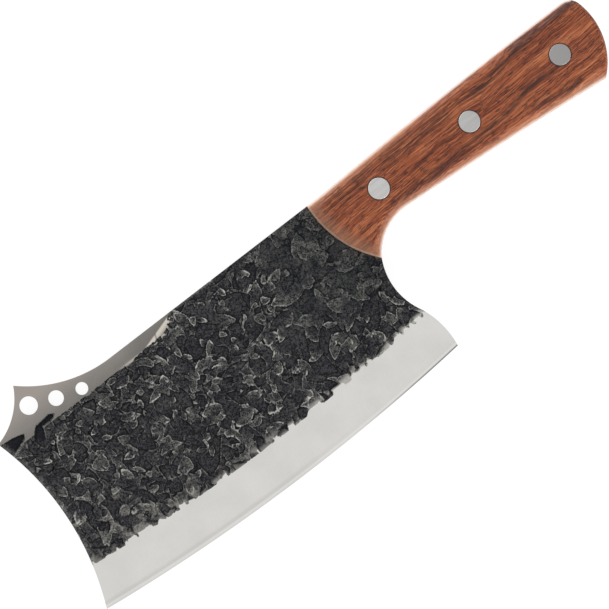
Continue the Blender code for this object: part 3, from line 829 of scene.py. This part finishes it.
def make_turned(name, node, profile, place, side, material):
    """Turns a profile of radius and height round an upright axis: rings, and a pole at each end."""
    profile = np.array(profile)
    angle = np.linspace(0, 2 * math.pi, TURNED_POINTS, endpoint=False)
    radius, height = profile[1:-1, :1], profile[1:-1, 1:]
    rings = np.stack((
        place[0] + radius * np.cos(angle), place[1] + radius * np.sin(angle), height + 0 * angle,
    ), axis=-1)
    index = numbered(0, *rings.shape[:2])
    poles = ((*place, profile[0, 1]), (*place, profile[-1, 1]))
    points = np.concatenate((rings.reshape(-1, 3), poles))
    quads = np.concatenate([strip(*pair) for pair in zip(index, index[1:])])
    ahead = np.roll(index, -1, axis=1)
    first, last = index.size + np.zeros_like(index[0]), index.size + np.ones_like(index[0])
    triangles = np.concatenate((
        np.stack((first, index[0], ahead[0]), axis=-1), np.stack((last, ahead[-1], index[-1]), axis=-1),
    ))
    shell = on_side(side, points, quads, triangles)
    make_piece(name, node, shell, material, RIVET_SHARP, {})


def head_profile():
    """Rivet head from its middle outwards: a very flat dome, a rounded edge, and the side to the seat."""
    share = np.linspace(0, 1, DOME_POINTS)
    dome = np.column_stack((share * (HEAD_RADIUS - DOME_INSET), HEAD_FACE - HEAD_DOME * share ** 2))
    turn = np.linspace(0, math.pi / 2, ROUND_POINTS)[1:]
    edge = np.column_stack((
        HEAD_RADIUS - HEAD_ROUND + HEAD_ROUND * np.sin(turn),
        HEAD_FACE - ROUND_DROP + HEAD_ROUND * np.cos(turn),
    ))
    return [tuple(point) for point in np.concatenate((dome, edge))] + [(HEAD_RADIUS, HEAD_SEAT)]


def make_rivet(name, place, material):
    """A post with its head on the left, pressed into a tube with its head on the right."""
    bore_end = HEAD_SEAT - RIVET_FLOOR
    post_end = RIVET_CLEARANCE - bore_end
    tube_end = 2 * RIVET_CLEARANCE - HEAD_SEAT
    bore = POST_RADIUS + RIVET_CLEARANCE
    post = head_profile() + [(POST_RADIUS, HEAD_SEAT), (POST_RADIUS, post_end), (0.0, post_end)]
    tube = head_profile() + [(TUBE_RADIUS, HEAD_SEAT), (TUBE_RADIUS, tube_end), (bore, tube_end)]
    tube += [(bore, bore_end), (0.0, bore_end)]
    make_turned(name + "_rivet_left_head", name + "_rivet_post", post, place, 1, material)
    make_turned(name + "_rivet_right_head", name + "_rivet_tube", tube, place, -1, material)


# Materials. The helpers add nodes to the tree that their inputs are in, and give outputs

def is_output(value):
    return isinstance(value, bpy.types.NodeSocket)


def fill_inputs(node, sockets):
    """Fills a node's inputs: another node's output is linked, and a value is set."""
    for key, value in sockets.items():
        if is_output(value):
            node.id_data.links.new(value, node.inputs[key])
        else:
            node.inputs[key].default_value = value


def put(kind, sockets, output=0, tree=None, **settings):
    """Adds a node with those inputs and settings. One without linked inputs names its tree."""
    tree = tree or next(value.id_data for value in sockets.values() if is_output(value))
    node = tree.nodes.new("ShaderNode" + kind)
    for key, value in settings.items():
        setattr(node, key, value)
    fill_inputs(node, sockets)
    return node.outputs[output]


def maths(operation, *values, clamp=False):
    return put("Math", dict(enumerate(values)), operation=operation, use_clamp=clamp)


def scaled(value, factor, added):
    return maths("MULTIPLY_ADD", value, factor, added)


def less(first, second):
    return maths("SUBTRACT", first, second)


def stepped(value, low, high, to_low=0.0, to_high=1.0):
    """Smooth step of a value from one limit to another."""
    limits = {"From Min": low, "From Max": high, "To Min": to_low, "To Max": to_high}
    return put("MapRange", {"Value": value, **limits}, interpolation_type="SMOOTHSTEP")


def times(*factors):
    """Product of values, where a tuple stands for the smooth step that it describes."""
    product, *others = (stepped(*factor) if isinstance(factor, tuple) else factor for factor in factors)
    for factor in others:
        product = maths("MULTIPLY", product, factor)
    return product


def band(value, centre, width):
    """1 on a line, fading to 0 at that distance on both sides."""
    return stepped(maths("ABSOLUTE", less(value, centre)), width, 0.0)


def opaque(tint):
    """Red, green and blue with full alpha. Another node's output stays as it is."""
    return tint if is_output(tint) else (*tint, 1.0)


def blended(share, first, second, kind="MIX"):
    """Colour that goes from the first to the second as the share goes from 0 to 1."""
    sockets = {0: share, 6: opaque(first), 7: opaque(second)}
    return put("Mix", sockets, 2, data_type="RGBA", blend_type=kind)


def layered(tint, *layers):
    """Colour with others laid over it one by one, each by a share that may be a tuple, as in times()."""
    for share, over in layers:
        tint = blended(times(share), tint, over)
    return tint


def noise(place, scale, detail, roughness):
    sockets = {"Vector": place, "Scale": scale, "Detail": detail, "Roughness": roughness}
    return put("TexNoise", sockets, "Fac")


def stretched(place, scale, turn=0.0):
    return put("Mapping", {"Vector": place, "Scale": scale, "Rotation": (0.0, 0.0, turn)})


def streaks(place, scale, detail, roughness):
    """Noise that has its own scale along each axis."""
    return noise(stretched(place, scale), 1.0, detail, roughness)


def stored(tree, *names):
    """Values stored at the mesh's points."""
    return [put("Attribute", {}, "Fac", tree, attribute_name=name) for name in names]


def knife_place(tree):
    """Object coordinates turned into the knife's own frame, in millimetres, and their three parts."""
    turn = Matrix(AXES.tolist()).transposed().to_euler()
    sockets = {"Location": ORIGIN.tolist(), "Rotation": tuple(turn), "Scale": (0.001, 0.001, 0.001)}
    sockets["Vector"] = put("TexCoord", {}, "Object", tree)
    place = put("Mapping", sockets, vector_type="TEXTURE")
    return place, put("SeparateXYZ", {0: place}).node.outputs


def bump(height, distance):
    return put("Bump", {"Height": height, "Distance": distance, "Strength": 1.0})


def new_material(name):
    material = bpy.data.materials.new(name)
    material.use_nodes = True
    return material, material.node_tree, material.node_tree.nodes["Principled BSDF"]


def satin_group():
    """Fine grinding lines: long thin noise, as a mask and as a height."""
    group = bpy.data.node_groups.new("satin_lines", "ShaderNodeTree")
    group.interface.new_socket("Place", in_out="INPUT", socket_type="NodeSocketVector")
    for name in ("Fine", "Coarse", "Height"):
        group.interface.new_socket(name, in_out="OUTPUT", socket_type="NodeSocketFloat")
    place = group.nodes.new("NodeGroupInput").outputs["Place"]
    fine, coarse = noise(place, 1.0, 4.0, 0.6), noise(place, 0.22, 3.0, 0.5)
    lines = {"Fine": fine, "Coarse": coarse, "Height": scaled(coarse, 0.6, fine)}
    fill_inputs(group.nodes.new("NodeGroupOutput"), lines)
    return group


def satin(group, place):
    return put("Group", {"Place": place}, node_tree=group).node.outputs


def forge_black(tree, place, x, y, grain, speck):
    """Colour of the forged sides, and where their lips are worn bright and painted with a highlight."""
    grind, tone, wall, from_edge, edge, rubbed = stored(
        tree, "grind", "tone", "wall", "from_edge", "edge", "rubbed")
    edge = scaled(less(speck, 0.5), 0.14, edge)
    mottle = scaled(speck, 0.75, scaled(grain, 1.0, 0.15))
    beside_handle = times((x, *CALM_X), (y, *CALM_TINT_Y))
    low = blended(beside_handle, (0.0048, 0.0060, 0.0086), (0.005, 0.0094, 0.0100))
    high = blended(beside_handle, (0.156, 0.155, 0.155), (0.150, 0.149, 0.150))
    patches = times((noise(place, 0.16, 3.0, 0.6), 0.42, 0.62, -0.4, 0.6), beside_handle)
    level = scaled(patches, 0.30, times(tone, mottle))
    black = blended(maths("MULTIPLY", level, 0.55, clamp=True), low, high)
    hue = blended(stepped(level, 0.25, 1.0), (1.04, 0.96, 1.05), (1.0, 1.0, 0.92))
    # Dark crevices on the low side of each wall: dark scale, and painted shade where the wall would shadow
    # the floor
    crevice_scale_and_shade = times((edge, -0.85, -0.10), (edge, 0.08, -0.02), (wall, 0.35, 1.0, 0.0, 0.90))
    thin = stepped(noise(place, 0.30, 2.0, 0.5), 0.36, 0.64, 0.5, 2.0)
    # Bright lips on the high side of each wall: partly bare worn steel, partly a painted highlight
    lip_wear_and_highlight = times(
        (edge, -0.02, 0.10),
        (times(edge, thin), 0.46, 0.14),
        (wall, 0.2, 0.9),
        (beside_handle, 0.0, 1.0, 1.0, 0.25),
        (grain, 0.10, 0.70, 0.40, 1.0),
        (noise(place, 0.05, 2.0, 0.5), 0.35, 0.65, 0.75, 1.0),
        (tone, 0.30, 0.75, 0.30, 1.0),
    )
    # Soft ends of the grinding, which leave out the walls and come and go along the line
    fade = times(
        maths("POWER", stepped(grind, -0.70, 0.03), 2.0),
        (from_edge, 26.0, 22.0),
        (noise(place, 0.14, 2.0, 0.5), 0.36, 0.50),
        less(1.0, crevice_scale_and_shade),
    )
    return layered(
        blended(1.0, black, hue, "MULTIPLY"),
        (crevice_scale_and_shade, (0.0026, 0.0040, 0.0044)),
        (lip_wear_and_highlight, (0.56, 0.55, 0.52)),
        (times(rubbed, (grain, 0.0, 1.0, 0.25, 0.95)), (0.30, 0.29, 0.265)),
        (fade, blended(stepped(x, -80.0, -20.0), (0.24, 0.235, 0.22), (0.50, 0.485, 0.45))),
    ), lip_wear_and_highlight


def ground_steel(tree, place, x, y, fine_lines):
    """Colour of the bevel and of the horn.

    The bevel has a dull hollow darkened by a band of painted shade where its slope breaks, and a bright
    line by the edge as a painted highlight, which is dark near the heel. The horn is painted darker than
    the bevel as the shade of a darker reflection, and darkens towards the run-out, whose turned-up end has
    a painted highlight in two petals with a notch between them.
    """
    facet, from_edge, into_facet = stored(tree, "facet", "from_edge", "into_facet")
    clouds = stepped(noise(place, 0.06, 3.0, 0.5), 0.3, 0.7)
    bevel = layered(
        blended(clouds, (0.628, 0.615, 0.588), (0.672, 0.66, 0.634)),
        # Painted shade in a band where the bevel's slope breaks, and a painted highlight as a bright line
        # by the edge
        (times(band(from_edge, 2.3, 1.6), (x, -30.0, -95.0, 0.05, 0.32)), (0.42, 0.41, 0.395)),
        (times(band(from_edge, 1.2, 0.7), 0.4), (0.80, 0.79, 0.77)),
        (times((from_edge, 0.8, 0.3), (x, -40.0, 0.0, 0.0, 0.85)), (0.16, 0.158, 0.155)),
    )
    # Painted highlight on the run-out's turned-up shoulder, in two petals with a notch, and along the
    # facet's line near it
    below = less(scaled(x, 0.309, 21.66), y)
    runout_highlight = times((below, -0.3, 0.3), (below, 3.6, 0.8), (x, -96.0, -88.0))
    notch = times(band(scaled(below, 0.3, x), -83.4, 0.8), 0.7)
    runout_highlight = maths("SUBTRACT", runout_highlight, notch, clamp=True)
    rim = times(band(into_facet, 0.9, 0.8), (x, -106.0, -98.0, 0.0, 0.6))
    stains = streaks(place, (0.10, 0.25, 1.0), 3.0, 0.6)
    # Painted shade: the horn's steel is darker than the bevel in place of a darker reflection, and darker
    # still towards the run-out
    horn = layered(
        blended(stepped(into_facet, 0.0, 16.0), (0.185, 0.176, 0.164), (0.345, 0.312, 0.284)),
        ((stains, 0.3, 0.7, 0.0, 0.22), (0.30, 0.275, 0.25)),
        ((x, -102.0, -88.0, 0.0, 0.40), (0.12, 0.117, 0.11)),
        (maths("MAXIMUM", runout_highlight, rim), (0.60, 0.55, 0.48)),
    )
    return layered(bevel, (facet, horn), ((fine_lines, 0.45, 0.8, 0.0, 0.10), (0.25, 0.24, 0.23)))


def blade_material(group):
    """Forge-black scale, rubbed lips with a painted highlight, crevices partly painted shade, satin where
    ground.
    """
    material, tree, shader = new_material("forged_and_ground_steel")
    place, (x, y, _) = knife_place(tree)
    grain = stepped(noise(place, 0.8, 4.0, 0.75), 0.42, 0.58)
    speck = stepped(noise(place, 1.6, 2.0, 0.6), 0.40, 0.60)
    lines = satin(group, stretched(place, (6.0, 0.3, 1.0)))
    black, lip_wear_and_highlight = forge_black(tree, place, x, y, grain, speck)
    bare = stepped(*stored(tree, "grind"), -0.012, 0.012)
    rough = stepped(grain, 0.0, 1.0, 0.45, 0.62), stepped(lines["Fine"], 0.3, 0.7, 0.27, 0.36)
    height = scaled(speck, 0.4, grain), times(lines["Height"], 0.02)
    fill_inputs(shader, {
        "Base Color": blended(bare, black, ground_steel(tree, place, x, y, lines["Fine"])),
        "Metallic": maths("MAXIMUM", bare, times(lip_wear_and_highlight, 0.4)),
        "Roughness": put("Mix", {0: bare, 2: rough[0], 3: rough[1]}),
        "Specular IOR Level": 0.06,
        "Normal": bump(put("Mix", {0: bare, 2: height[0], 3: height[1]}), 0.00012),
    })
    return material


# Dark strokes in the wood: line at the start and end of a run of X, half-width, the run, where it comes
# and goes, and how dark it is
DARK_STROKES = (
    (-4.2, -4.2, 5.5, (5, 80), (0, 14, 70, 90), 0.65),
    (-5.0, 0.3, 3.2, (72, 130), (58, 90, 160, 170), 0.95),
    (-20.5, -16.5, 2.4, (76, 116), (66, 80, 122, 134), 0.90),
    (-25.0, -28.5, 2.4, (98, 126), (94, 106, 122, 132), 0.80),
    (-21.2, -21.2, 3.0, (30, 72), (24, 38, 64, 80), 0.70),
)
WOOD_STOPS = (
    (0.12, (0.105, 0.028, 0.016)), (0.36, (0.213, 0.054, 0.025)),
    (0.60, (0.362, 0.103, 0.042)), (0.88, (0.550, 0.200, 0.090)),
)


def wood_ramp(level):
    """Colour of the plain wood by its level, from dark to light."""
    tint = put("ValToRGB", {0: level})
    elements = tint.node.color_ramp.elements
    for number, (position, stop) in enumerate(WOOD_STOPS):
        element = elements[number] if number < 2 else elements.new(position)
        element.position, element.color = position, opaque(stop)
    return tint


def wood_material():
    """Oiled red-brown hardwood: long streaks along a bent grain, dark strokes on both sides, and pores.

    The rims and the front end carry painted highlights and sheen, and a painted shade ring lies round each
    rivet.
    """
    material, tree, shader = new_material("oiled_red_brown_wood")
    place, (x, y, z) = knife_place(tree)
    from_middle = less(x, 85.0)
    bend = times(from_middle, maths("ABSOLUTE", from_middle))
    drift = less(streaks(place, (0.035, 0.06, 0.06), 3.0, 0.5), 0.5)
    grain_y = scaled(drift, 5.0, scaled(bend, -0.0005, y))
    grain = put("CombineXYZ", {0: x, 1: grain_y, 2: z})

    broad = stepped(streaks(grain, (0.018, 0.28, 0.22), 4.0, 0.6), 0.3, 0.7)
    streak = stepped(streaks(grain, (0.030, 1.1, 0.9), 5.0, 0.7), 0.32, 0.68)
    hair = stepped(streaks(grain, (0.09, 2.6, 2.2), 3.0, 0.6), 0.36, 0.64)
    pores = streaks(grain, (0.28, 2.4, 2.0), 2.0, 0.55)
    blotch = streaks(grain, (0.075, 0.24, 0.2), 4.0, 0.65)
    level = scaled(hair, 0.36, scaled(streak, 0.38, times(broad, 0.26)))

    wander = scaled(drift, 4.0, y)
    strokes = 0.0
    for start, end, width, run, (come, full, fade, gone), strength in DARK_STROKES:
        line = band(wander, stepped(x, *run, start, end), width)
        stroke = times(line, (x, come, full, 0.0, strength), (x, gone, fade))
        strokes = maths("MAXIMUM", strokes, stroke)
    broken = scaled(less(0.5, streak), 0.30, blotch)
    dash = times((pores, 0.555, 0.62), (broad, 0.3, 0.9, 1.0, 0.55))

    front, rim = stored(tree, "from_front", "rim")
    darker_back = times((y, -16.0, -8.0), (x, 30.0, 95.0))
    # Painted highlight: pale wood along the rounded rims, in place of the white surround reflected there
    pale = stepped(rim, 1.6, 0.0, 0.0, 0.88)
    tint = layered(
        wood_ramp(level),
        (times(strokes, (broken, 0.36, 0.58, 0.15, 1.0)), (0.056, 0.023, 0.019)),
        (times(dash, 0.85), (0.050, 0.017, 0.012)),
        # Painted sheen on the rounded front end, and a painted highlight on its very edge
        ((front, 8.0, 1.2, 0.0, 0.55), (0.28, 0.155, 0.100)),
        ((front, 1.0, 0.5, 0.0, 0.70), (0.42, 0.290, 0.210)),
        # Painted light: a paler orange band on the rounded rims as if lit from the sides, weaker along the
        # back
        (times((rim, 3.6, 0.8, 0.0, 0.52), (darker_back, 0.0, 1.0, 1.0, 0.1)), (0.53, 0.235, 0.125)),
        (times(pale, pale), blended(streak, (0.80, 0.54, 0.42), (0.93, 0.72, 0.60))),
    )
    # Painted shade: a dark ring in the wood round each rivet head, where the gap round the head lies in
    # shade
    flat = put("CombineXYZ", {0: x, 1: y})
    for centre in RIVET_PLACES:
        away = put("VectorMath", {0: flat, 1: (*centre, 0.0)}, "Value", operation="DISTANCE")
        tint = layered(tint, ((away, 5.3, 4.75, 0.0, 0.75), (0.07, 0.024, 0.016)))
    facing = put("LayerWeight", {}, "Facing", tree)
    fill_inputs(shader, {
        "Base Color": tint,
        "Roughness": stepped(streak, 0.0, 1.0, 0.50, 0.40),
        "Specular IOR Level": 0.2,
        "Coat Weight": times((facing, 0.25, 0.70), (rim, 3.0, 1.2)),
        "Coat Roughness": 0.25,
        "Coat IOR": 2.0,
        "Normal": bump(scaled(dash, -1.0, times(streak, 0.25)), 0.00012),
    })
    return material


def rivet_material(group):
    """Matt brushed steel of the rivet heads, which are darker towards the butt."""
    material, tree, shader = new_material("brushed_rivet_steel")
    place, (x, _, _) = knife_place(tree)
    lines = satin(group, stretched(place, (0.35, 4.0, 1.0), 0.7))
    clouds = stepped(lines["Coarse"], 0.3, 0.7)
    fill_inputs(shader, {
        "Base Color": layered(
            blended(clouds, (0.48, 0.475, 0.47), (0.54, 0.535, 0.525)),
            ((lines["Fine"], 0.45, 0.75, 0.0, 0.2), (0.36, 0.365, 0.37)),
            ((x, 45.0, 130.0, 0.0, 0.85), (0.27, 0.265, 0.26)),
        ),
        "Metallic": 1.0,
        "Roughness": stepped(lines["Fine"], 0.3, 0.7, 0.36, 0.48),
        "Normal": bump(lines["Height"], 0.00002),
    })
    return material


# Studio

PHOTO_CENTRE = (-25.8, -32.2, HALF_STEEL)
PHOTO_SPAN = 0.2558
PHOTO_UP = (0.6070, 0.7947, 0.0)
CAMERA_DISTANCE = 4.0
SENSOR = 36.0
FLOOR_HALF = 6.0
STRIP_SIZE = (1.3, 0.18)
STRIP_TARGET = (0.0, 0.0, 0.01)


def grey(level):
    return (level, level, level, 1.0)


def make_camera():
    """Looks straight down on the blade's left side, turned as the photograph is."""
    up = np.array(PHOTO_UP) @ AXES
    out = AXES[2]
    right = np.cross(up, out)
    place = placed(PHOTO_CENTRE) + out * CAMERA_DISTANCE
    data = bpy.data.cameras.new("photo_camera")
    data.sensor_width = SENSOR
    data.lens = SENSOR * CAMERA_DISTANCE / PHOTO_SPAN
    data.clip_end = 50.0
    camera = added("photo_camera", data)
    rotation = Matrix(np.stack((right, up, out), axis=1).tolist())
    camera.matrix_world = Matrix.Translation(Vector(place)) @ rotation.to_4x4()
    bpy.context.scene.camera = camera


def seen_directly(tree):
    """1 for rays that show the background: from the camera, or off gloss, or through glass."""
    path = put("LightPath", {}, 0, tree).node.outputs
    glossy = maths("MAXIMUM", path["Is Glossy Ray"], path["Is Transmission Ray"])
    return maths("MAXIMUM", path["Is Camera Ray"], glossy)


def make_floor():
    """Wide white table, almost white by itself where it is looked at, which still takes the shadow."""
    mesh = bpy.data.meshes.new("floor")
    corners = [(x * FLOOR_HALF, y * FLOOR_HALF, 0) for x, y in ((-1, -1), (1, -1), (1, 1), (-1, 1))]
    mesh.from_pydata(corners, [], [(0, 1, 2, 3)])
    material, tree, shader = new_material("white_table")
    fill_inputs(shader, {"Base Color": grey(0.80), "Roughness": 0.9, "Specular IOR Level": 0.0})
    pale = put("BsdfDiffuse", {"Color": grey(0.22)}, 0, tree)
    glow = put("Emission", {"Color": grey(1.0), "Strength": 0.88}, 0, tree)
    table = put("AddShader", {0: pale, 1: glow})
    mixed = put("MixShader", {0: seen_directly(tree), 1: shader.outputs[0], 2: table})
    fill_inputs(tree.nodes["Material Output"], {"Surface": mixed})
    mesh.materials.append(material)
    added("floor", mesh)


def make_strip(name, power, place):
    data = bpy.data.lights.new(name, "AREA")
    data.shape = "RECTANGLE"
    data.size, data.size_y = STRIP_SIZE
    data.energy = power
    light = added(name, data)
    light.location = place
    light.rotation_euler = (Vector(STRIP_TARGET) - Vector(place)).to_track_quat("-Z", "Y").to_euler()
    light.visible_camera = False


def make_studio():
    """White tent with two long low lights that rake over the table, on the spine's side and opposite."""
    world = bpy.data.worlds.new("white_tent")
    bpy.context.scene.world = world
    world.use_nodes = True
    strength = stepped(seen_directly(world.node_tree), 0.0, 1.0, 0.70, 1.0)
    fill_inputs(world.node_tree.nodes["Background"], {"Strength": strength, "Color": grey(1.0)})
    make_strip("spine_strip", 7.0, (-0.15, 1.0, 0.25))
    make_strip("belly_strip", 8.0, (0.15, -1.0, 0.25))


def main():
    satin_lines = satin_group()
    make_camera()
    make_floor()
    make_studio()
    make_blade(blade_material(satin_lines))
    wood = wood_material()
    make_scale("left_scale", 1, wood)
    make_scale("right_scale", -1, wood)
    rivet = rivet_material(satin_lines)
    for name, place in zip(RIVET_NAMES, RIVET_PLACES):
        make_rivet(name, place, rivet)
    bpy.context.scene.view_settings.view_transform = "Standard"


main()
